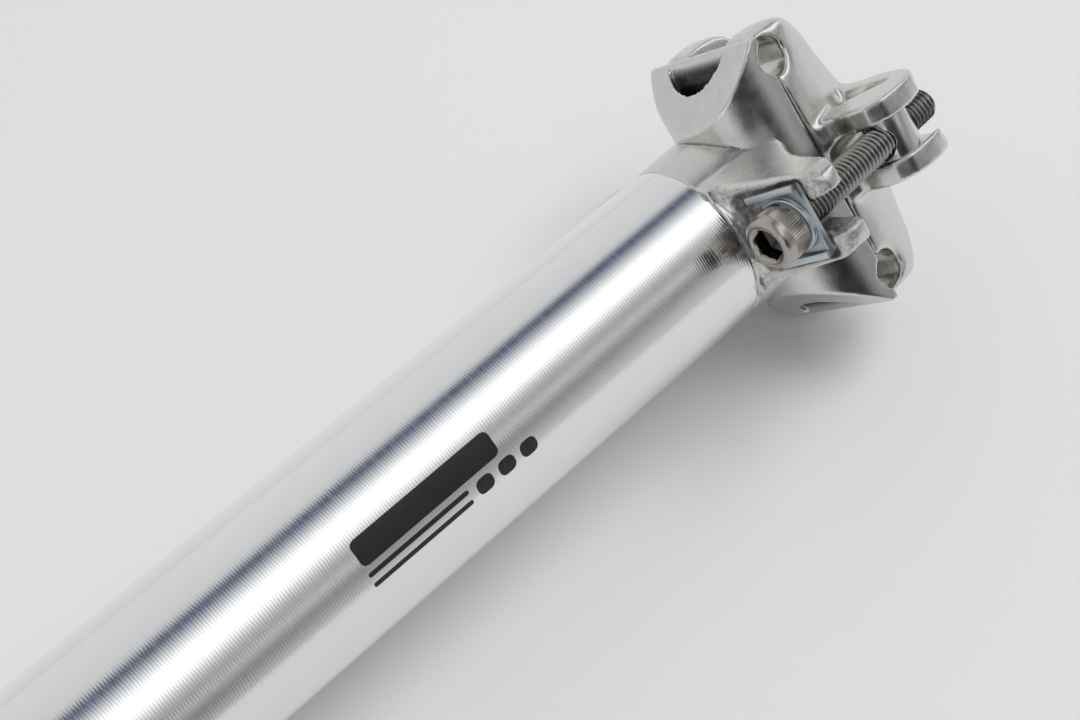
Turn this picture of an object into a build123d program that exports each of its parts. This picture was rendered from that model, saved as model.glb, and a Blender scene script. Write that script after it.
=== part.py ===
"""Rigid two-bolt micro-adjust seatpost, in millimetres.

Row frame: origin at the centre of the tube's bottom end, +Z up the tube, +Y to
the front of the bicycle and +X to the rider's right.
Clamp frame: origin on the tilt axis, turned CLAMP_TILT front-down about X.
Bolt frames: origin on the centre of a fork seat's curve, +Z up the bolt.
"""
import math
import os

from build123d import *

# Post tube
TUBE_R = 15.45
TUBE_BORE_R = 13.25
TUBE_LENGTH = 328.6
TUBE_END_CHAMFER = 0.5

# Tilt axis of the clamp, a little behind the tube's axis, and its rest angle
PIVOT_Y = -2.0
PIVOT_Z = TUBE_LENGTH + 22.7
CLAMP_TILT = 8.0

# Saddle rails: 7 mm rods, 44 mm apart, centred on the tilt axis
RAIL_R = 3.5
RAIL_X = 22.0

# Head
CHEEK_R = 15.7
CRADLE_R = 13.4
SOCKET_GAP = 0.1
CHEEK_TOP = 17.3
SPIGOT_R = 13.15
SPIGOT_LENGTH = 25.0
SPIGOT_BORE_R = 10.5
FORK_SHIFT = -1.0
SLOT_HALF = 3.4
SLOT_ROOT_Y = 16.4
RECESS_HALF = 7.4
RECESS_TOP = 7.6
RECESS_END = 30.6
SEAT_R = 12.0
SEAT_Y = 21.9
SEAT_Z = TUBE_LENGTH + 17.93

# Bolts, M6 x 40 socket head cap screws
BOLT_LENGTH = 40.0
BOLT_SHANK_R = 2.8
BOLT_HEAD_R = 4.85
BOLT_HEAD_HEIGHT = 6.0
BOLT_KEY = 5.0
BOLT_KEY_DEPTH = 3.0

# Barrel nuts
BOLT_SPREAD = 20.9
NUT_RISE = 7.7
NUT_R = 4.3
NUT_HALF = 5.3
NUT_HOLE_R = 3.3
NUT_SEAT_GAP = 0.05

# Washers
CHANNEL_HALF = 7.0
CHANNEL_REACH = 5.0
CHANNEL_THICK = 1.2
CHANNEL_LIP = 3.9
CHANNEL_SHORT_LIP = 1.9
SEAT_GAP = 0.05
ROUND_R = 5.2
ROUND_THICK = 1.1
WASHER_HOLE_R = 3.2
FACE_GAP = 0.02

# Lower cradle and upper clamp, heights in the clamp frame
CRADLE_HALF = 26.7
CRADLE_TOP = -1.8
CRADLE_FOOT_X = 16.9
CRADLE_BAND = 1.5
POCKET_R = 8.0
POCKET_Y = 0.9
CLAMP_BASE = -1.3
WING_HALF = 27.0
WING_GAP = 4.4
ARM_HALF = 7.6
EAR_SLOT_HALF = 3.4
EAR_SLOT_ROOT = 13.0


def clamp_location():
    """Location of the clamp frame in the row frame."""
    return Location((0, PIVOT_Y, PIVOT_Z)) * Rotation(-CLAMP_TILT, 0, 0)


def nut_point(side):
    """Barrel nut centre (Y, Z) in the row frame; side is -1 rear, +1 front."""
    a = math.radians(CLAMP_TILT)
    y = side * BOLT_SPREAD
    return (
        PIVOT_Y + y * math.cos(a) + NUT_RISE * math.sin(a),
        PIVOT_Z - y * math.sin(a) + NUT_RISE * math.cos(a),
    )


def seat_point(side):
    """Centre (Y, Z) of a fork seat's curve in the row frame."""
    return (FORK_SHIFT + side * SEAT_Y, SEAT_Z)


def bolt_location(side):
    """Location of a bolt frame in the row frame."""
    seat_y, seat_z = seat_point(side)
    nut_y, nut_z = nut_point(side)
    lean = math.degrees(math.atan2(nut_y - seat_y, nut_z - seat_z))
    return Location((0, seat_y, seat_z)) * Rotation(-lean, 0, 0)


def yz_slab(points, half):
    """Prism of a (y, z) outline, from -half to +half along X."""
    outline = make_face(Polyline([(0, y, z) for y, z in points], close=True))
    return extrude(outline, half, dir=(1, 0, 0), both=True)


def xz_slab(points, half):
    """Prism of an (x, z) outline, from -half to +half along Y."""
    outline = make_face(Polyline([(x, 0, z) for x, z in points], close=True))
    return extrude(outline, half, dir=(0, 1, 0), both=True)


def x_rod(radius, half, y=0.0, z=0.0):
    """Cylinder along X, centred at (0, y, z)."""
    return Pos(0, y, z) * Rotation(0, 90, 0) * Cylinder(radius, 2 * half)


def y_rod(radius, half, x=0.0, z=0.0):
    """Cylinder along Y, centred at (x, 0, z)."""
    return Pos(x, 0, z) * Rotation(90, 0, 0) * Cylinder(radius, 2 * half)


def both_ends(points):
    """Add the mirror image in Y to an outline that starts and ends at Y > 0."""
    return points + [(-y, z) for y, z in reversed(points)]


def post_tube():
    """Straight round tube, its bottom edge chamfered inside and out."""
    solid = Cylinder(TUBE_R, TUBE_LENGTH, align=(Align.CENTER, Align.CENTER, Align.MIN))
    bore = Cylinder(TUBE_BORE_R, TUBE_LENGTH, align=(Align.CENTER, Align.CENTER, Align.MIN))
    tube = solid - bore
    bottom = tube.edges().filter_by(GeomType.CIRCLE).group_by(Axis.Z)[0]
    return chamfer(bottom, TUBE_END_CHAMFER)


def fork_outline():
    """Plan view of the two pairs of prongs, as one face."""
    side = [(5.2, 33.4), (6.8, 32.6), (8.0, 30.4), (8.5, 26.0), (8.9, 21.0), (9.6, 15.5), (11.0, 9.5)]
    right = side + [(x, -y) for x, y in reversed(side)]
    ring = right + [(-x, -y) for x, y in right]
    return make_face(Polyline(ring, close=True))


def head_profile():
    """Side view of the forks: prong tips, top edges and undersides."""
    upper = [(8.0, CHEEK_TOP), (13.2, CHEEK_TOP), (15.4, 16.4), (18.6, 14.1), (21.6, 12.7), (25.6, 12.0)]
    tip = [(30.8, 11.7), (32.8, 10.6), (33.4, 8.8), (33.0, 6.6), (31.6, 5.4), (29.8, 5.2)]
    lower = [(26.0, 4.8), (21.6, 3.6), (16.2, 2.4), (13.2, 1.2), (12.0, 0.0)]
    return both_ends(upper + tip + lower)


def seat_recess(side):
    """Space under one pair of prongs for the channel washer, up to the curved seat."""
    wall = [(15.5, -1.0), (15.55, 2.0), (15.8, 4.2), (16.2, 5.6), (17.4, 7.3), (17.4, RECESS_TOP)]
    edge = [(RECESS_END, RECESS_TOP), (RECESS_END, -1.0)]
    under = yz_slab([(y * side, z) for y, z in wall + edge], RECESS_HALF)
    seat_y, seat_z = seat_point(side)
    return under - x_rod(SEAT_R, RECESS_HALF + 1, seat_y, seat_z - TUBE_LENGTH)


def bolt_slot(side):
    """Slot between one pair of prongs, open at its end."""
    root = SLOT_ROOT_Y + SLOT_HALF
    straight = Pos(0, side * (root + 10), 10) * Box(2 * SLOT_HALF, 20, 30)
    end = Pos(0, side * root, 10) * Cylinder(SLOT_HALF, 30)
    return Pos(0, FORK_SHIFT, 0) * (straight + end)


def forged_head():
    """Forged head: cheeks, socket for the cradle, two forks and the spigot in the tube."""
    blank = Cone(TUBE_R, CHEEK_R, 8, align=(Align.CENTER, Align.CENTER, Align.MIN))
    blank += Pos(0, 0, 8) * Cylinder(
        CHEEK_R, CHEEK_TOP - 8, align=(Align.CENTER, Align.CENTER, Align.MIN)
    )
    fork = extrude(fork_outline(), CHEEK_TOP) & yz_slab(head_profile(), 20)
    head = blank + Pos(0, FORK_SHIFT, 0) * fork
    head -= x_rod(CRADLE_R + SOCKET_GAP, 30, PIVOT_Y, PIVOT_Z - TUBE_LENGTH)
    for side in (-1, 1):
        head -= seat_recess(side)
        head -= bolt_slot(side)
    spigot = Cylinder(SPIGOT_R, SPIGOT_LENGTH, align=(Align.CENTER, Align.CENTER, Align.MAX))
    head += spigot
    hollow = Cylinder(SPIGOT_BORE_R, SPIGOT_LENGTH + 3, align=(Align.CENTER, Align.CENTER, Align.MIN))
    head -= Pos(0, 0, -SPIGOT_LENGTH) * hollow
    return Pos(0, 0, TUBE_LENGTH) * head


def rail_grooves(radius):
    """Two rods where the saddle rails lie, in the clamp frame."""
    return y_rod(radius, 40, -RAIL_X) + y_rod(radius, 40, RAIL_X)


def cradle_pocket(side):
    """Scoop in one bevelled end of the cradle, its roof sloping under the groove."""
    roof = [(16.5, -5.0), (22.5, -4.6), (25.0, -3.4), (34.0, -3.3), (34.0, -14.0), (16.5, -14.0)]
    return x_rod(POCKET_R, 34, POCKET_Y) & xz_slab([(side * x, z) for x, z in roof], 20)


def lower_cradle():
    """Half-cylinder that carries the rails, its ends bevelled and hollowed."""
    body = x_rod(CRADLE_R, 30)
    body &= Pos(0, 0, CRADLE_TOP - 10) * Box(80, 80, 20)
    bevel = [
        (-CRADLE_HALF, CRADLE_TOP),
        (CRADLE_HALF, CRADLE_TOP),
        (CRADLE_HALF, CRADLE_TOP - CRADLE_BAND),
        (CRADLE_FOOT_X, -13.5),
        (-CRADLE_FOOT_X, -13.5),
        (-CRADLE_HALF, CRADLE_TOP - CRADLE_BAND),
    ]
    body &= xz_slab(bevel, 20)
    body -= rail_grooves(RAIL_R)
    for side in (-1, 1):
        body -= cradle_pocket(side)
    return clamp_location() * body


def wing_shoulder(side):
    """Block whose sloping faces round off the lobes' upper outer corners on one side."""
    reach = [(28.0, 16.6), (26.4, 17.7), (25.2, 19.2), (23.2, 20.3), (21.0, 21.3), (17.0, 22.0)]
    reach += [(12.0, 24.1), (9.0, 27.0)]
    half = [(x, total / math.sqrt(2)) for x, total in reach]
    outline = [(28.0, -30.0)] + half + [(-x, s) for x, s in reversed(half)] + [(-28.0, -30.0)]
    slope = Plane(origin=(0, 0, 0), x_dir=(-1, 0, 0), z_dir=(0, 1, -1))
    block = extrude(slope * make_face(Polyline(outline, close=True)), 60, both=True)
    return block if side > 0 else mirror(block, Plane.XZ)


def wing_block():
    """Four lobes that bear on the rails, in the clamp frame."""
    edge = [(WING_HALF, CLAMP_BASE), (27.0, 3.6), (26.4, 7.0), (25.2, 9.4), (23.2, 11.0)]
    edge += [(20.6, 12.0), (17.0, 12.9), (13.6, 14.4), (10.4, 16.2), (7.4, 17.4)]
    block = xz_slab(edge + [(-x, z) for x, z in reversed(edge)], 20)
    corner = [(27.0, 4.6), (27.0, 9.8), (26.3, 11.6), (24.6, 12.6), (20.0, 13.2), (8.0, 13.4)]
    plan = corner + [(-x, y) for x, y in reversed(corner)]
    plan = plan + [(-x, -y) for x, y in plan]
    block &= extrude(make_face(Polyline(plan, close=True)), 30, both=True)
    flank = [(13.4, CLAMP_BASE), (13.4, 0.4), (12.9, 3.0), (11.9, 6.5), (10.4, 10.4), (9.0, 13.4), (6.6, 17.5)]
    block &= yz_slab(both_ends(flank), 30)
    for side in (-1, 1):
        block &= wing_shoulder(side)
        block -= Pos(side * 25.4, 0, 0) * Box(12.0, 2 * WING_GAP, 60)
        block -= Pos(side * 19.4, 0, 0) * Cylinder(WING_GAP, 60)
    return block


def ear_pocket(side, face):
    """Leaf-shaped pocket in the outer face of one ear."""
    leaf = make_hull((Pos(-9.8, 11.4) * Circle(2.9)).edges() + (Pos(-13.4, 20.4) * Circle(0.6)).edges())
    block = Rotation(0, 90, 0) * extrude(leaf, 6)
    if side < 0:
        block = mirror(block, Plane.XZ)
    inner_face = ARM_HALF - 2.0
    return Pos(inner_face if face > 0 else -inner_face - 6, 0, 0) * block


def clamp_arms():
    """Fore-and-aft arms that end in the round ears, in the clamp frame."""
    under = [(13.4, CLAMP_BASE), (14.6, 1.0), (16.0, 1.7), (19.4, 1.7), (22.6, 2.6), (25.0, 4.8)]
    end = [(26.2, 7.6), (26.5, 10.4), (26.0, 13.2), (24.6, 15.4), (22.2, 16.8), (18.8, 17.3), (0.5, 17.4)]
    arms = yz_slab(both_ends(under + end), ARM_HALF)
    for side in (-1, 1):
        for face in (-1, 1):
            arms -= ear_pocket(side, face)
    return arms


def ear_cuts(side):
    """Bolt slot and barrel nut seat of one pair of ears."""
    root = EAR_SLOT_ROOT + EAR_SLOT_HALF
    cuts = Pos(0, side * (root + 8), 5) * Box(2 * EAR_SLOT_HALF, 16, 40)
    cuts += Pos(0, side * root, 5) * Cylinder(EAR_SLOT_HALF, 40)
    seat_r = NUT_R + NUT_SEAT_GAP
    seat_half = NUT_HALF + 0.1
    cuts += x_rod(seat_r, seat_half, side * BOLT_SPREAD, NUT_RISE)
    cuts += Pos(0, side * BOLT_SPREAD, NUT_RISE + 8) * Box(2 * seat_half, 2 * seat_r, 16)
    return cuts


def upper_clamp():
    """Upper half of the rail clamp, with lobes over the rails and ears for the nuts."""
    body = wing_block() + clamp_arms()
    body -= rail_grooves(RAIL_R)
    for side in (-1, 1):
        body -= ear_cuts(side)
    return clamp_location() * body


def barrel_nut(side):
    """Cross-drilled round nut lying in a pair of ears."""
    body = x_rod(NUT_R, NUT_HALF)
    body = chamfer(body.edges().filter_by(GeomType.CIRCLE), 0.4)
    reach = math.hypot(*(n - s for n, s in zip(nut_point(side), seat_point(side))))
    return bolt_location(side) * Pos(0, 0, reach) * (body - Cylinder(NUT_HOLE_R, 20))


def channel_washer(side):
    """Folded plate under the prongs; its two lips deepen towards the tube."""
    top = (Align.CENTER, Align.CENTER, Align.MAX)
    blank = Box(2 * CHANNEL_HALF, 2 * CHANNEL_REACH, CHANNEL_LIP, align=top)
    blank = fillet(blank.edges().filter_by(Axis.Y).group_by(Axis.Z)[-1], 1.0)
    inside = 2 * (CHANNEL_HALF - CHANNEL_THICK)
    blank -= Pos(0, 0, -CHANNEL_THICK) * Box(inside, 4 * CHANNEL_REACH, CHANNEL_LIP, align=top)
    outside = side * (CHANNEL_REACH + 1)
    slope = [(outside, -CHANNEL_SHORT_LIP), (-outside, -CHANNEL_LIP), (-outside, -6), (outside, -6)]
    blank -= yz_slab(slope, 10)
    blank -= Cylinder(WASHER_HOLE_R, 20)
    return bolt_location(side) * Pos(0, 0, -SEAT_R - SEAT_GAP) * blank


def round_washer(side):
    """Plain round washer between the channel washer and the bolt head."""
    top = -SEAT_R - SEAT_GAP - CHANNEL_THICK
    ring = Cylinder(ROUND_R, ROUND_THICK, align=(Align.CENTER, Align.CENTER, Align.MAX))
    ring = chamfer(ring.edges(), 0.15)
    return bolt_location(side) * Pos(0, 0, top) * (ring - Cylinder(WASHER_HOLE_R, 10))


def clamp_bolt(side):
    """Socket head cap screw; its thread is drawn as a plain shank."""
    under = -SEAT_R - SEAT_GAP - CHANNEL_THICK - ROUND_THICK - FACE_GAP
    head = Cylinder(BOLT_HEAD_R, BOLT_HEAD_HEIGHT, align=(Align.CENTER, Align.CENTER, Align.MAX))
    head = chamfer(head.edges().group_by(Axis.Z)[0], 0.5)
    key = extrude(RegularPolygon(BOLT_KEY / 2, 6, major_radius=False), BOLT_KEY_DEPTH)
    head -= Pos(0, 0, -BOLT_HEAD_HEIGHT) * key
    shank = Cylinder(BOLT_SHANK_R, BOLT_LENGTH, align=(Align.CENTER, Align.CENTER, Align.MIN))
    shank = chamfer(shank.edges().group_by(Axis.Z)[-1], 0.5)
    return bolt_location(side) * Pos(0, 0, under) * (head + shank)


def main():
    """Write one STEP file for each separate piece."""
    os.makedirs("parts", exist_ok=True)
    pieces = {
        "post_tube": post_tube(),
        "forged_head": forged_head(),
        "lower_cradle": lower_cradle(),
        "upper_clamp": upper_clamp(),
    }
    for name, side in (("rear", -1), ("front", 1)):
        pieces[name + "_barrel_nut"] = barrel_nut(side)
        pieces[name + "_channel_washer"] = channel_washer(side)
        pieces[name + "_round_washer"] = round_washer(side)
        pieces[name + "_bolt"] = clamp_bolt(side)
    for name, piece in pieces.items():
        export_step(piece, "parts/" + name + ".step")


main()
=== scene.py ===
"""Looks for a rigid two-bolt micro-adjust seatpost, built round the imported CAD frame.

The post stands upright in its own frame. The camera looks at it as if it lay on a
table, so the table is a tilted plane that touches the tube and the head.
"""

import math

import bmesh
import bpy
import numpy as np
from mathutils import Matrix, Vector, noise


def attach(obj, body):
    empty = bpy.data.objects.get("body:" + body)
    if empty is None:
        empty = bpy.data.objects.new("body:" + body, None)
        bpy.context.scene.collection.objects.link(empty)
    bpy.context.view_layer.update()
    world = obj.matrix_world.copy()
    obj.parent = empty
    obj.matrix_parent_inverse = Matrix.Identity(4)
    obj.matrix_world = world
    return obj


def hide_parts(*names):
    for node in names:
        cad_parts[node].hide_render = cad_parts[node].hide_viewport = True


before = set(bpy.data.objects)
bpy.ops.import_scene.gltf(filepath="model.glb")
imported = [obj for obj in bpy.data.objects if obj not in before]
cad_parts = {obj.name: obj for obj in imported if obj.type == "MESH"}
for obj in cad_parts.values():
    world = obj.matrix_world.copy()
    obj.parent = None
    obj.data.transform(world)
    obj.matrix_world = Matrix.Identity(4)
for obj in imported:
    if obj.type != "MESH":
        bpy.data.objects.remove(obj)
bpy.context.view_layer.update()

MM = 0.001

# Sizes repeated from the CAD, in millimetres
TUBE_R = 15.45
TUBE_BORE_R = 13.25
SEAM_Z = 328.6
PIVOT_Y = -2.0
PIVOT_Z = 351.3
CLAMP_TILT = math.radians(8.0)
REAR_SEAT_Y = -22.9
FRONT_SEAT_Y = 20.9
SEAT_Z = 346.53
REAR_LEAN = math.radians(4.763)
FRONT_LEAN = math.radians(-6.803)
UNDER_HEAD = -14.37
BOLT_LENGTH = 40.0
THREAD_PITCH = 1.0
BOLT_SLOT_HALF = 3.4
CRADLE_HALF = 26.7
POCKET_R = 8.0
POCKET_Y = 0.9
POCKET_ROOF_Z = -3.3

# Even mesh size of the forged pieces, in millimetres
FORGED_VOXEL = 0.3

# Colours
GREY_SKIN = ((0.46, 0.445, 0.43), (0.84, 0.825, 0.80))
# The second pair is near black: painted shade inside the cradle's end pockets, not a skin colour of
# its own.
PAINTED_SHADE_SKIN = ((0.03, 0.03, 0.03), (0.10, 0.098, 0.095))
# Near black painted into the bolts' hexagon sockets and thread roots: painted shade.
PAINTED_RECESS_SHADE = (0.035, 0.033, 0.03)
PALE_WALL = (0.58, 0.58, 0.58)


def new_object(name, mesh, body, slot, *nodes):
    """Link a mesh as a piece that rides on a body and stands for CAD nodes."""
    obj = bpy.data.objects.new(name, mesh)
    bpy.context.scene.collection.objects.link(obj)
    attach(obj, body)
    if nodes:
        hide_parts(*nodes)
    return obj


def mesh_from(name, points, faces):
    """Mesh from points in millimetres and faces, shaded smooth."""
    mesh = bpy.data.meshes.new(name)
    mesh.from_pydata([tuple(c * MM for c in p) for p in points], [], faces)
    mesh.update()
    mesh.shade_smooth()
    return mesh


def welded_copy(node, name):
    """Copy of a CAD node's mesh with its doubled points joined, as a mesh of its own."""
    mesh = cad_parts[node].data.copy()
    mesh.name = name
    bm = bmesh.new()
    bm.from_mesh(mesh)
    bmesh.ops.remove_doubles(bm, verts=bm.verts, dist=1e-7)
    bm.to_mesh(mesh)
    bm.free()
    mesh.materials.clear()
    return mesh


# ---------------------------------------------------------------- materials

def node_tree(name):
    """New material, its node tree and its principled shader."""
    mat = bpy.data.materials.new(name)
    mat.use_nodes = True
    tree = mat.node_tree
    return mat, tree, tree.nodes["Principled BSDF"]


def add(tree, kind, **inputs):
    """Add a node and set its inputs by name, spaces written as underscores."""
    node = tree.nodes.new(kind)
    for key, value in inputs.items():
        node.inputs[key.replace("_", " ")].default_value = value
    return node


def coords(tree, scale=(1, 1, 1)):
    """Object coordinates, scaled."""
    source = tree.nodes.new("ShaderNodeTexCoord")
    mapping = tree.nodes.new("ShaderNodeMapping")
    mapping.inputs["Scale"].default_value = scale
    tree.links.new(source.outputs["Object"], mapping.inputs["Vector"])
    return mapping.outputs["Vector"]


def noise_out(tree, vector, scale, detail=3.0, rough=0.5):
    """Grey noise from 0 to 1."""
    tex = add(tree, "ShaderNodeTexNoise", Scale=scale, Detail=detail, Roughness=rough)
    tree.links.new(vector, tex.inputs["Vector"])
    return tex.outputs["Fac"]


def ramp(tree, fac, stops):
    """Colour ramp; stops are (position, grey or colour)."""
    node = tree.nodes.new("ShaderNodeValToRGB")
    ramp_data = node.color_ramp
    first, last = ramp_data.elements[0], ramp_data.elements[1]
    last.position = stops[-1][0]
    first.position = stops[0][0]
    for position, value in stops[1:-1]:
        ramp_data.elements.new(position)
    for element, (position, value) in zip(ramp_data.elements, stops):
        colour = value if isinstance(value, tuple) else (value, value, value)
        element.color = (*colour, 1)
    tree.links.new(fac, node.inputs["Fac"])
    return node.outputs["Color"]


def mix_colour(tree, fac, a, b):
    """Mix two colours, each a tuple or a socket, by a socket."""
    node = tree.nodes.new("ShaderNodeMix")
    node.data_type = "RGBA"
    tree.links.new(fac, node.inputs[0])
    for socket, value in ((node.inputs[6], a), (node.inputs[7], b)):
        if isinstance(value, tuple):
            socket.default_value = (*value, 1)
        else:
            tree.links.new(value, socket)
    return node.outputs[2]


def bump(tree, height, distance, strength=1.0, under=None):
    """Bump normal from a height socket; distance in millimetres."""
    node = add(tree, "ShaderNodeBump", Strength=strength, Distance=distance * MM)
    tree.links.new(height, node.inputs["Height"])
    if under is not None:
        tree.links.new(under, node.inputs["Normal"])
    return node.outputs["Normal"]


def attribute(tree, name):
    """Value of a per-vertex attribute."""
    node = tree.nodes.new("ShaderNodeAttribute")
    node.attribute_name = name
    return node.outputs["Fac"]


def tube_metal():
    """Bright turned aluminium: fine rings round the tube and a few faint scuffs."""
    mat, tree, bsdf = node_tree("turned_aluminium")
    bsdf.inputs["Metallic"].default_value = 1.0
    rings = noise_out(tree, coords(tree, (25, 25, 2600)), 1.0, 2.0, 0.6)
    turns = add(
        tree, "ShaderNodeTexWave", Scale=600.0, Distortion=4.0, Detail=2.0, Detail_Scale=0.4
    )
    turns.bands_direction = "Z"
    tree.links.new(coords(tree), turns.inputs["Vector"])
    broad = noise_out(tree, coords(tree, (60, 60, 420)), 1.0, 2.0)
    cloud = noise_out(tree, coords(tree, (70, 70, 25)), 1.0, 3.0)
    colour = mix_colour(tree, cloud, (0.84, 0.85, 0.86), (0.89, 0.895, 0.90))
    tree.links.new(colour, bsdf.inputs["Base Color"])
    tree.links.new(ramp(tree, rings, [(0.3, 0.12), (0.7, 0.20)]), bsdf.inputs["Roughness"])
    coarse = bump(tree, broad, 0.02, 0.5)
    lines = bump(tree, turns.outputs["Fac"], 0.008, 1.0, coarse)
    tree.links.new(bump(tree, rings, 0.006, 1.0, lines), bsdf.inputs["Normal"])
    return mat


def forged_metal(name, base, rough, grain, skin_and_shade):
    """Tumbled forged aluminium; the mask attribute marks the as-forged skin, which takes the given
    skin colours; where those are near black, as on the cradle, they paint shade.
    """
    mat, tree, bsdf = node_tree(name)
    bsdf.inputs["Metallic"].default_value = 1.0
    fine = noise_out(tree, coords(tree), 4200.0, 2.0)
    patch = noise_out(tree, coords(tree), 330.0, 4.0)
    raw_and_shade = attribute(tree, "raw_and_shade")
    dark = tuple(c * 0.80 for c in base)
    clean = mix_colour(tree, patch, dark, base)
    pits = noise_out(tree, coords(tree), 1500.0, 5.0, 0.65)
    # Skin colours; the cradle's near-black pair paints shade in its pockets.
    skin_and_shade_colour = ramp(tree, pits, [(0.3, skin_and_shade[0]), (0.7, skin_and_shade[1])])
    tree.links.new(mix_colour(tree, raw_and_shade, clean, skin_and_shade_colour), bsdf.inputs["Base Color"])
    smooth = ramp(tree, patch, [(0.3, rough[0]), (0.7, rough[1])])
    tree.links.new(mix_colour(tree, raw_and_shade, smooth, (0.5, 0.5, 0.5)), bsdf.inputs["Roughness"])
    surface = bump(tree, fine, grain, 0.8)
    tree.links.new(bump(tree, patch, 0.03, 0.2, surface), bsdf.inputs["Normal"])
    return mat


def plain_metal(name, base, rough, scale, distance):
    """Metal with mottled roughness and a fine grain; the attribute "shade" marks where shade is
    painted in as a dark colour.
    """
    mat, tree, bsdf = node_tree(name)
    bsdf.inputs["Metallic"].default_value = 1.0
    grain = noise_out(tree, coords(tree), scale, 3.0)
    cloud = noise_out(tree, coords(tree), 260.0, 4.0)
    dull = tuple(c * 0.82 for c in base)
    clean = mix_colour(tree, cloud, dull, base)
    # Painted shade: darkened where the attribute "shade" is set.
    shaded = mix_colour(tree, attribute(tree, "shade"), clean, PAINTED_RECESS_SHADE)
    tree.links.new(shaded, bsdf.inputs["Base Color"])
    tree.links.new(ramp(tree, cloud, [(0.3, rough[0]), (0.7, rough[1])]), bsdf.inputs["Roughness"])
    tree.links.new(bump(tree, grain, distance, 0.6), bsdf.inputs["Normal"])
    return mat


def black_print():
    """Black printed film, slightly uneven in gloss."""
    mat, tree, bsdf = node_tree("black_print")
    cloud = noise_out(tree, coords(tree), 500.0, 3.0)
    ink = mix_colour(tree, cloud, (0.006, 0.007, 0.008), (0.012, 0.013, 0.015))
    tree.links.new(ink, bsdf.inputs["Base Color"])
    tree.links.new(ramp(tree, cloud, [(0.3, 0.32), (0.7, 0.42)]), bsdf.inputs["Roughness"])
    return mat


TUBE_METAL = tube_metal()
HEAD_METAL = forged_metal("forged_aluminium", (0.77, 0.755, 0.735), (0.20, 0.34), 0.020, GREY_SKIN)
# Its skin colours are near black: painted shade inside the end pockets.
CRADLE_METAL = forged_metal("cradle_aluminium", (0.76, 0.75, 0.735), (0.16, 0.27), 0.032, PAINTED_SHADE_SKIN)
CLAMP_METAL = forged_metal("clamp_aluminium", (0.80, 0.785, 0.76), (0.19, 0.32), 0.020, GREY_SKIN)
NUT_METAL = plain_metal("nut_aluminium", (0.84, 0.835, 0.83), (0.14, 0.24), 2500.0, 0.004)
ZINC = plain_metal("zinc_plate", (0.68, 0.735, 0.77), (0.28, 0.44), 900.0, 0.006)
STEEL = plain_metal("stainless_steel", (0.50, 0.465, 0.43), (0.20, 0.34), 2200.0, 0.004)
THREAD_STEEL = plain_metal("thread_steel", (0.43, 0.415, 0.40), (0.2, 0.34), 2200.0, 0.004)
PRINT = black_print()


# ---------------------------------------------------------------- forged pieces

def relax(mesh, passes, hold):
    """Taubin smoothing of a mesh, point by point weighted by 1 - hold."""
    count = len(mesh.vertices)
    co = np.empty(count * 3)
    mesh.vertices.foreach_get("co", co)
    co = co.reshape(-1, 3)
    ends = np.empty(len(mesh.edges) * 2, dtype=np.int64)
    mesh.edges.foreach_get("vertices", ends)
    ends = ends.reshape(-1, 2)
    degree = np.bincount(ends.ravel(), minlength=count).astype(float)[:, None]
    free = (1.0 - hold(co))[:, None]
    for _ in range(passes):
        for factor in (0.55, -0.30):
            total = np.zeros_like(co)
            for axis in range(3):
                total[:, axis] = np.bincount(ends[:, 0], co[ends[:, 1], axis], count)
                total[:, axis] += np.bincount(ends[:, 1], co[ends[:, 0], axis], count)
            co = co + free * factor * (total / degree - co)
    mesh.vertices.foreach_set("co", co.ravel())
    mesh.update()
    return co


def forged(node, name, body, metal, passes, hold, raw_and_shade, rough_depth):
    """Remesh a CAD node evenly, round its edges, and mark and roughen its raw skin; on the cradle
    the same mark also carries painted shade.
    """
    mesh = welded_copy(node, name)
    source = bpy.data.objects.new(name + "_source", mesh)
    bpy.context.scene.collection.objects.link(source)
    remesh = source.modifiers.new("even", "REMESH")
    remesh.mode = "VOXEL"
    remesh.voxel_size = FORGED_VOXEL * MM
    graph = bpy.context.evaluated_depsgraph_get()
    even = bpy.data.meshes.new_from_object(source.evaluated_get(graph))
    bpy.data.objects.remove(source)
    co = relax(even, passes, hold)
    amount = raw_and_shade(co)
    normals = np.empty(len(even.vertices) * 3)
    even.vertices.foreach_get("normal", normals)
    normals = normals.reshape(-1, 3)
    lumps = np.array([noise.noise(Vector(p) * 900.0) for p in co])
    pits = np.array([noise.noise(Vector(p) * 2600.0) for p in co])
    push = (lumps * 0.6 + pits * 0.4 - 0.4) * rough_depth * MM * amount
    co = co + normals * push[:, None]
    even.vertices.foreach_set("co", co.ravel())
    layer = even.attributes.new("raw_and_shade", "FLOAT", "POINT")
    layer.data.foreach_set("value", amount)
    even.update()
    even.shade_smooth()
    even.materials.append(metal)
    return new_object(name, even, body, "forging", node)


def hold_none(co):
    """Every point is free to move."""
    return np.zeros(len(co))


def hold_seam(co):
    """The head's rim at the seam, and everything below it, stays put."""
    return np.clip((SEAM_Z + 1.2 - co[:, 2] / MM) / 0.8, 0, 1)


def step(value, low, high):
    """Smooth rise from 0 at low to 1 at high."""
    t = np.clip((value - low) / (high - low), 0, 1)
    return t * t * (3 - 2 * t)


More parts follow.
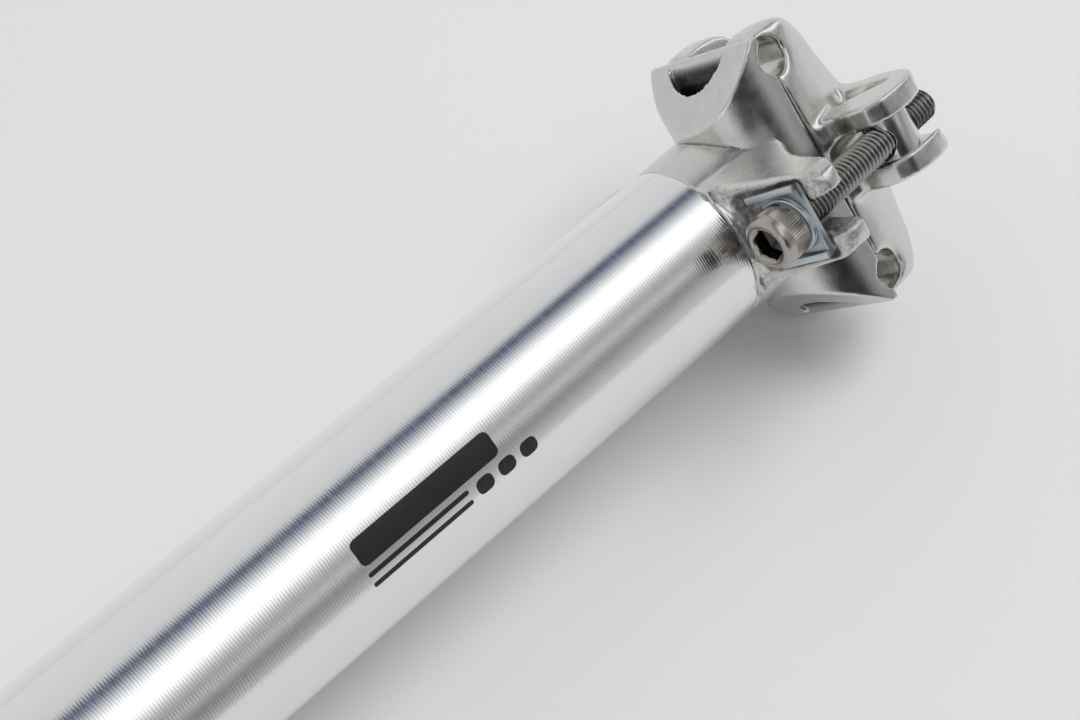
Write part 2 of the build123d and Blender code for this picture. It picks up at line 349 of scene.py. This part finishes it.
def raw_head(co):
    """Recess between the cheeks, the slot walls and the ground ends of the prongs."""
    x, y, z = np.abs(co[:, 0]) / MM, np.abs(co[:, 1]) / MM, co[:, 2] / MM - SEAM_Z
    under = (1 - step(x, 7.3, 8.2)) * step(y, 14.9, 15.5) * (1 - step(z, 7.4, 8.0))
    side = step(x, 6.6, 7.2) * step(y, 11.0, 14.0) * (1 - step(z, 1.6, 2.6)) * step(z, 0.3, 0.8)
    tip = step(y, 29.4, 30.6) * (1 - step(z, 10.2, 11.2))
    slot = (1 - step(x, BOLT_SLOT_HALF + 0.1, BOLT_SLOT_HALF + 0.5)) * step(y, 17.0, 18.0)
    return np.clip(np.maximum(np.maximum(under, side), np.maximum(slot * 0.8, tip * 0.2)), 0, 1)


def clamp_coords(co):
    """Points in the clamp's own tilted frame, in millimetres."""
    y = co[:, 1] / MM - PIVOT_Y
    z = co[:, 2] / MM - PIVOT_Z
    c, s = math.cos(CLAMP_TILT), math.sin(CLAMP_TILT)
    return co[:, 0] / MM, y * c - z * s, y * s + z * c


def hold_ears(co):
    """The ears keep crisper edges than the lobes."""
    x, y, z = clamp_coords(co)
    return step(np.abs(y), 12.5, 15.5) * (1 - step(np.abs(x), 8.5, 10.5)) * 0.75


def raw_and_shaded_pocket(co):
    """Inside of the end pockets, fuller deeper in: roughened as raw skin and coloured near black as
    painted shade.
    """
    x, y, z = clamp_coords(co)
    x = np.abs(x)
    roof = np.interp(x, [16.5, 22.5, 25.0, 27.5], [-5.0, -4.6, -3.4, POCKET_ROOF_Z])
    radius = np.hypot(y - POCKET_Y, z)
    inside = (1 - step(radius, POCKET_R + 0.2, POCKET_R + 0.5)) * step(x, 15.0, 16.0)
    depth = (CRADLE_HALF - x) * 0.7 + (z - POCKET_ROOF_Z) * 0.7
    return inside * (1 - step(z, roof + 0.25, roof + 0.5)) * step(depth, 0.5, 1.5)


def raw_clamp(co):
    """Slots for the bolts."""
    x, y, z = clamp_coords(co)
    x, y = np.abs(x), np.abs(y)
    wall = 1 - step(x, BOLT_SLOT_HALF + 0.1, BOLT_SLOT_HALF + 0.6)
    return wall * step(y, 14.0, 14.8) * (1 - step(y, 18, 20)) * 0.7


def forged_pieces():
    """Head, cradle and upper clamp."""
    forged(
        "forged_head", "head_forging", "post", HEAD_METAL,
        passes=22, hold=hold_seam, raw_and_shade=raw_head, rough_depth=0.28,
    )
    forged(
        "lower_cradle", "cradle_forging", "cradle", CRADLE_METAL,
        passes=8, hold=hold_none, raw_and_shade=raw_and_shaded_pocket, rough_depth=0.15,
    )
    forged(
        "upper_clamp", "clamp_forging", "clamp", CLAMP_METAL,
        passes=110, hold=hold_ears, raw_and_shade=raw_clamp, rough_depth=0.1,
    )


# ---------------------------------------------------------------- turned pieces

def lathe(outline, segments):
    """Points and faces of a closed ring outline of (radius, z) turned about Z."""
    points, faces = [], []
    for i in range(segments):
        a = 2 * math.pi * i / segments
        points += [(r * math.cos(a), r * math.sin(a), z) for r, z in outline]
    n = len(outline)
    for i in range(segments):
        j = (i + 1) % segments
        for k in range(n):
            m = (k + 1) % n
            faces.append((i * n + k, j * n + k, j * n + m, i * n + m))
    return points, faces


def tube_piece():
    """The post tube, with a broken edge at the seam and at its bottom end."""
    wall = [(TUBE_BORE_R, SEAM_Z), (TUBE_BORE_R, SEAM_Z - 0.2)]
    wall += [(TUBE_BORE_R, 0.55), (TUBE_BORE_R + 0.05, 0.45)]
    wall += [(TUBE_BORE_R + 0.45, 0.04), (TUBE_BORE_R + 0.55, 0.0)]
    wall += [(TUBE_R - 0.55, 0.0), (TUBE_R - 0.45, 0.04)]
    wall += [(TUBE_R - 0.04, 0.45), (TUBE_R, 0.6), (TUBE_R, 1.2)]
    wall += [(TUBE_R, SEAM_Z - 0.5), (TUBE_R, SEAM_Z - 0.14)]
    wall += [(TUBE_R - 0.1, SEAM_Z - 0.02), (TUBE_R - 0.2, SEAM_Z)]
    points, faces = lathe(wall[::-1], 256)
    mesh = mesh_from("tube_shell", points, faces)
    mesh.set_sharp_from_angle(angle=math.radians(50))
    mesh.materials.append(TUBE_METAL)
    new_object("tube_shell", mesh, "post", "tube", "post_tube")


def rounded_patch(low, high, start, end, rows=24):
    """Thin curved patch on the tube between two angles and two heights, ends rounded."""
    outer, inner = TUBE_R + 0.03, TUBE_R - 0.05
    half = math.radians(high - low) * TUBE_R / 2
    corner = min(half, 1.1)
    points, faces = [], []
    for i in range(rows + 1):
        t = i / rows
        a = math.radians(low + (high - low) * t)
        edge = min(t, 1 - t) * 2 * half
        inset = corner - math.sqrt(max(corner ** 2 - max(corner - edge, 0) ** 2, 0))
        for r in (outer, inner):
            for z in (start + inset, end - inset):
                points.append((r * math.cos(a), r * math.sin(a), z))
    for i in range(rows):
        a, b = 4 * i, 4 * i + 4
        faces += [(a, b, b + 1, a + 1), (a + 2, a + 3, b + 3, b + 2)]
        faces += [(a, a + 2, b + 2, b), (a + 1, b + 1, b + 3, a + 3)]
    faces += [(0, 1, 3, 2), (4 * rows, 4 * rows + 2, 4 * rows + 3, 4 * rows + 1)]
    return points, faces


def graphic():
    """Generic black print on the tube: one broad bar, two thin lines and three blocks."""
    bar = (-105.5, -88.5, 241.5, 270.5)
    lines = [(-84.5, -81.5, 241.5, 262.5), (-77.5, -74.5, 241.5, 262.5)]
    blocks = [(-84.5, -74.5, start, start + 3.4) for start in (264.0, 268.8, 273.6)]
    points, faces = [], []
    for strip in [bar] + lines + blocks:
        more, quads = rounded_patch(*strip)
        base = len(points)
        points += more
        faces += [tuple(base + k for k in quad) for quad in quads]
    mesh = mesh_from("tube_print", points, faces)
    mesh.set_sharp_from_angle(angle=math.radians(40))
    mesh.materials.append(PRINT)
    new_object("tube_print", mesh, "post", "tube")


def bolt_matrix(side):
    """Bolt frame in the row frame, in metres; side is -1 rear, +1 front."""
    lean, seat_y = (REAR_LEAN, REAR_SEAT_Y) if side < 0 else (FRONT_LEAN, FRONT_SEAT_Y)
    return Matrix.Translation(Vector((0, seat_y, SEAT_Z)) * MM) @ Matrix.Rotation(-lean, 4, "X")


def hex_radius(angle, flat):
    """Distance from the axis to a hexagon's side, flat being its inscribed radius."""
    return flat / math.cos((angle % (math.pi / 3)) - math.pi / 6)


def ring_faces(rings, around):
    """Quads that join rings of points, each ring with the same number of points."""
    faces = []
    for k in range(rings - 1):
        low, high = k * around, (k + 1) * around
        for i in range(around):
            j = (i + 1) % around
            faces.append((low + i, low + j, high + j, high + i))
    return faces


def bolt_head():
    """Knurled cap with a hexagon socket; the socket's mouth faces down."""
    around, teeth = 256, 64
    rows = [(0.0, 4.5, 0), (-0.07, 4.64, 0), (-0.24, 4.76, 0.4), (-0.4, 4.8, 1)]
    rows += [(-3.7, 4.8, 1), (-3.9, 4.76, 0.5), (-4.1, 4.73, 0), (-5.0, 4.71, 0)]
    rows += [(-5.45, 4.6, 0), (-5.76, 4.36, 0), (-5.94, 4.0, 0), (-6.0, 3.75, 0)]
    rows += [(-5.98, 3.35, 0), (-5.84, 3.15, 0)]
    points = []
    for z, r, knurl in rows:
        for i in range(around):
            a = 2 * math.pi * i / around
            ridge = 0.05 - 0.16 * abs(2 * ((i * teeth / around) % 1.0) - 1) if knurl else 0
            r_here = r + knurl * ridge
            points.append((r_here * math.cos(a), r_here * math.sin(a), z))
    for z, flat in ((-5.55, 2.6), (-5.3, 2.5), (-3.2, 2.5), (-3.0, 2.3)):
        for i in range(around):
            a = 2 * math.pi * i / around
            r = hex_radius(a, flat)
            points.append((r * math.cos(a), r * math.sin(a), z))
    rings = len(rows) + 4
    faces = ring_faces(rings, around)
    points += [(0, 0, -2.3), (0, 0, 0)]
    last = (rings - 1) * around
    for i in range(around):
        j = (i + 1) % around
        faces.append((last + i, last + j, len(points) - 2))
        faces.append((j, i, len(points) - 1))
    return points, [tuple(reversed(f)) for f in faces]


def thread_shape(phase):
    """Height from 0 at the root to 1 at the crest of a 60 degree thread."""
    t = abs(2 * (phase % 1.0) - 1)
    return min(max((t - 0.18) / 0.66, 0), 1)


def bolt_thread():
    """Helical M6 thread from under the head to a bevelled end."""
    around, spacing = 72, 0.1
    root, depth, crest = 2.38, 0.6, 2.98
    foot, plain_to, bevel = -0.3, 1.2, 0.9
    rows = int((BOLT_LENGTH - foot) / spacing)
    points = []
    for k in range(rows + 1):
        z = min(foot + k * spacing, BOLT_LENGTH)
        limit = crest - max(0.0, z - (BOLT_LENGTH - bevel)) * 0.8
        for i in range(around):
            a = 2 * math.pi * i / around
            height = thread_shape(z / THREAD_PITCH - i / around) if z > plain_to else 1.0
            r = min(root + depth * height, limit)
            points.append((r * math.cos(a), r * math.sin(a), z))
    faces = ring_faces(rows + 1, around)
    points += [(0, 0, foot), (0, 0, BOLT_LENGTH)]
    top = rows * around
    for i in range(around):
        j = (i + 1) % around
        faces.append((j, i, len(points) - 2))
        faces.append((top + i, top + j, len(points) - 1))
    return points, faces


def bolt_shade(co):
    """Painted shade inside the hexagon socket and in the roots of the thread."""
    radius, z = np.hypot(co[:, 0], co[:, 1]), co[:, 2]
    socket = (1 - step(radius, 2.95, 3.15)) * step(z, -5.8, -5.2) * (1 - step(z, -1.5, -0.5))
    roots = (1 - step(radius, 2.45, 2.85)) * step(z, 0.5, 1.2) * 0.6
    return np.maximum(socket * 0.9, roots)


def bolts():
    """Both clamp bolts, each as two objects, a head and a thread, on one body."""
    for word, side in (("rear", -1), ("front", 1)):
        place = bolt_matrix(side) @ Matrix.Translation((0, 0, UNDER_HEAD * MM))
        for part, metal, shape in (("cap", STEEL, bolt_head), ("thread", THREAD_STEEL, bolt_thread)):
            mesh = mesh_from(word + "_bolt_" + part, *shape())
            co = np.array([v.co for v in mesh.vertices]) / MM
            layer = mesh.attributes.new("shade", "FLOAT", "POINT")
            layer.data.foreach_set("value", bolt_shade(co))
            mesh.transform(place)
            mesh.set_sharp_from_angle(angle=math.radians(38))
            mesh.materials.append(metal)
            new_object(word + "_bolt_" + part, mesh, word + "_screw", "bolt", word + "_bolt")


def machined(node, name, body, slot, width, metal):
    """CAD shape with broken edges, for pressed and turned pieces."""
    mesh = welded_copy(node, name)
    bm = bmesh.new()
    bm.from_mesh(mesh)
    bmesh.ops.dissolve_limit(bm, angle_limit=math.radians(1.0), verts=bm.verts, edges=bm.edges)
    folded = [e for e in bm.edges if len(e.link_faces) == 2]
    sharp = [e for e in folded if e.calc_face_angle() > math.radians(35)]
    bmesh.ops.bevel(bm, geom=sharp, offset=width * MM, segments=2, profile=0.5, affect="EDGES")
    bm.to_mesh(mesh)
    bm.free()
    mesh.shade_smooth()
    mesh.set_sharp_from_angle(angle=math.radians(30))
    mesh.materials.append(metal)
    return new_object(name, mesh, body, slot, node)


def small_pieces():
    """Nuts and washers of both bolt sets."""
    for word in ("rear", "front"):
        nut, plate, ring = word + "_barrel_nut", word + "_channel_washer", word + "_round_washer"
        washers = word + "_washers"
        machined(nut, word + "_nut_turned", word + "_nut", "nut", 0.12, NUT_METAL)
        machined(plate, word + "_folded_plate", washers, "zinc", 0.1, ZINC)
        machined(ring, word + "_ring_washer", washers, "zinc", 0.05, ZINC)


# ---------------------------------------------------------------- stage

TABLE_NORMAL = Vector((-0.729, -0.684, 0.035)).normalized()


def table():
    """Pale table that the post would lie on; it shows only from its upper side."""
    rest_low = Vector((0, 0, 0)) - TABLE_NORMAL * TUBE_R * MM
    rest_high = Vector((0, 0, PIVOT_Z * MM)) - TABLE_NORMAL * 28 * MM
    along = (rest_high - rest_low).normalized()
    across = TABLE_NORMAL.cross(along).normalized()
    normal = along.cross(across)
    if normal.dot(TABLE_NORMAL) < 0:
        across = -across
    along, across = along * 2.5, across * 2.5
    signs = ((-1, -1), (1, -1), (1, 1), (-1, 1))
    corners = [rest_low + along * a + across * b for a, b in signs]
    mesh = bpy.data.meshes.new("table")
    mesh.from_pydata([tuple(c) for c in corners], [], [(0, 1, 2, 3)])
    mesh.update()
    if mesh.polygons[0].normal.dot(TABLE_NORMAL) < 0:
        mesh.flip_normals()
    mat, tree, bsdf = node_tree("table_paper")
    cloud = noise_out(tree, coords(tree), 2.0, 3.0)
    paper = mix_colour(tree, cloud, (0.80, 0.80, 0.80), (0.82, 0.82, 0.82))
    tree.links.new(paper, bsdf.inputs["Base Color"])
    bsdf.inputs["Roughness"].default_value = 0.6
    clear = tree.nodes.new("ShaderNodeBsdfTransparent")
    facing = tree.nodes.new("ShaderNodeNewGeometry")
    choose = tree.nodes.new("ShaderNodeMixShader")
    out = tree.nodes["Material Output"]
    tree.links.new(facing.outputs["Backfacing"], choose.inputs[0])
    tree.links.new(bsdf.outputs[0], choose.inputs[1])
    tree.links.new(clear.outputs[0], choose.inputs[2])
    tree.links.new(choose.outputs[0], out.inputs["Surface"])
    mesh.materials.append(mat)
    obj = bpy.data.objects.new("table", mesh)
    bpy.context.scene.collection.objects.link(obj)


def math_out(tree, operation, *values):
    """Result of a math node; each value is a number or a socket."""
    node = tree.nodes.new("ShaderNodeMath")
    node.operation = operation
    for socket, value in zip(node.inputs, values):
        if isinstance(value, (int, float)):
            socket.default_value = value
        else:
            tree.links.new(value, socket)
    return node.outputs[0]


def studio():
    """Soft surround that the metal reflects, with pale walls, dark gaps and one broad
    white band. Seen directly it is a plain pale grey.
    """
    world = bpy.data.worlds.new("studio")
    bpy.context.scene.world = world
    world.use_nodes = True
    tree = world.node_tree
    back = tree.nodes["Background"]
    source = tree.nodes.new("ShaderNodeTexCoord")
    split = tree.nodes.new("ShaderNodeSeparateXYZ")
    tree.links.new(source.outputs["Generated"], split.inputs[0])
    angle = math_out(tree, "ARCTAN2", split.outputs["Y"], split.outputs["X"])
    turn = math_out(tree, "MULTIPLY_ADD", angle, 1 / (2 * math.pi), 0.5)
    slant = math_out(tree, "MULTIPLY_ADD", split.outputs["Z"], 0.10, -0.10 * 0.411)
    place = math_out(tree, "ADD", turn, slant)
    stops = [
        (0.0, 0.50),
        (0.022, 0.46),
        (0.036, (0.18, 0.20, 0.24)),
        (0.046, (0.035, 0.05, 0.085)),
        (0.058, (0.06, 0.08, 0.12)),
        (0.078, (0.27, 0.29, 0.32)),
        (0.105, 0.62),
        (0.130, 1.0),
        (0.170, 1.0),
        (0.208, 0.40),
        (0.240, 0.24),
        (0.262, 0.44),
        (0.300, 0.17),
        (0.370, 0.40),
        (0.480, 0.26),
        (0.600, 0.64),
        (0.740, 0.62),
        (0.800, 0.54),
        (0.900, 0.54),
        (0.985, 0.50),
    ]
    colour = ramp(tree, place, stops)
    toward = tree.nodes.new("ShaderNodeVectorMath")
    toward.operation = "DOT_PRODUCT"
    toward.inputs[1].default_value = (0.29, -0.86, -0.42)
    tree.links.new(source.outputs["Generated"], toward.inputs[0])
    gap_stops = [(0.80, 1.0), (0.90, 0.35), (0.95, 0.07), (1.0, 0.05)]
    gap = ramp(tree, toward.outputs["Value"], gap_stops)
    shade = tree.nodes.new("ShaderNodeMix")
    shade.data_type = "RGBA"
    shade.blend_type = "MULTIPLY"
    shade.inputs[0].default_value = 1.0
    tree.links.new(colour, shade.inputs[6])
    tree.links.new(gap, shade.inputs[7])
    path = tree.nodes.new("ShaderNodeLightPath")
    wall = mix_colour(tree, path.outputs["Is Camera Ray"], shade.outputs[2], PALE_WALL)
    tree.links.new(wall, back.inputs["Color"])
    back.inputs["Strength"].default_value = 1.36


def area_light(name, where, target, size, power):
    """Square soft light aimed at a point, left out of reflections."""
    data = bpy.data.lights.new(name, "AREA")
    data.shape = "SQUARE"
    data.size = size
    data.energy = power
    obj = bpy.data.objects.new(name, data)
    obj.location = where
    obj.visible_glossy = False
    obj.rotation_mode = "QUATERNION"
    obj.rotation_quaternion = (Vector(target) - Vector(where)).to_track_quat("-Z", "Y")
    bpy.context.scene.collection.objects.link(obj)
    return obj


def camera():
    """Camera low behind the post, looking up and forward at the head."""
    data = bpy.data.cameras.new("camera")
    data.sensor_width = 36.0
    data.lens = 68.33
    data.clip_start = 0.01
    data.clip_end = 20.0
    obj = bpy.data.objects.new("camera", data)
    right = Vector((0.50566, -0.51043, 0.69554))
    up = Vector((-0.81267, -0.01117, 0.58262))
    back = Vector((-0.28962, -0.85985, -0.42046))
    turn = Matrix((right, up, back)).transposed().to_4x4()
    obj.matrix_world = Matrix.Translation((-0.10079, -0.29362, (SEAM_Z - 179.78) * MM)) @ turn
    bpy.context.scene.collection.objects.link(obj)
    bpy.context.scene.camera = obj


forged_pieces()
tube_piece()
graphic()
bolts()
small_pieces()
table()
studio()
area_light("key", (-0.78, -1.05, 0.9), (0, 0, 0.3), 0.85, 7.6)
camera()
bpy.context.scene.view_settings.view_transform = "Standard"
